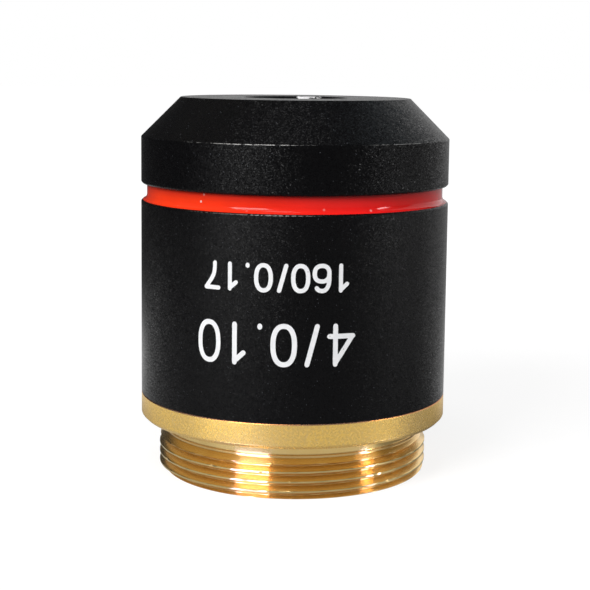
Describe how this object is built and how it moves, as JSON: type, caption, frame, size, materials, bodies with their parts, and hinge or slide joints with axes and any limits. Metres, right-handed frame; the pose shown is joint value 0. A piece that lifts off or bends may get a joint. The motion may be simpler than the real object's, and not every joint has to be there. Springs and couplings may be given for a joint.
{
  "type": "microscope objective",
  "caption": "Low-power microscope objective: black barrel with a conical nose cap, red colour band, brass flange and external objective thread, and a lens train inside.",
  "frame": {"origin": "centre of the thread's end face, on which the objective stands", "axes": "+Z along the optical axis, from the thread up to the nose"},
  "size_m": [0.023, 0.023, 0.0279],
  "materials": {
    "turned_brass": "blasted satin flange, bright turned thread",
    "black_paint": "fine-grained satin black on brass",
    "red_enamel": "glossy orange-red enamel",
    "shim_brass": "rolled",
    "blackened_metal": "matt black on brass",
    "optical_glass": "polished, coated"
  },
  "bodies": {
    "root": {"threaded_mount": "turned_brass", "outer_barrel": "black_paint", "colour_band": "red_enamel", "nose_cap": "black_paint", "parfocal_shim": "shim_brass", "lens_tube": "blackened_metal", "lock_ring": "blackened_metal", "rear_cell": "blackened_metal", "aperture_stop": "blackened_metal", "flint_lens": "optical_glass", "crown_lens": "optical_glass", "rear_retaining_ring": "blackened_metal", "front_cell": "blackened_metal", "front_lens": "optical_glass", "front_retaining_ring": "blackened_metal"}
  },
  "joints": []
}
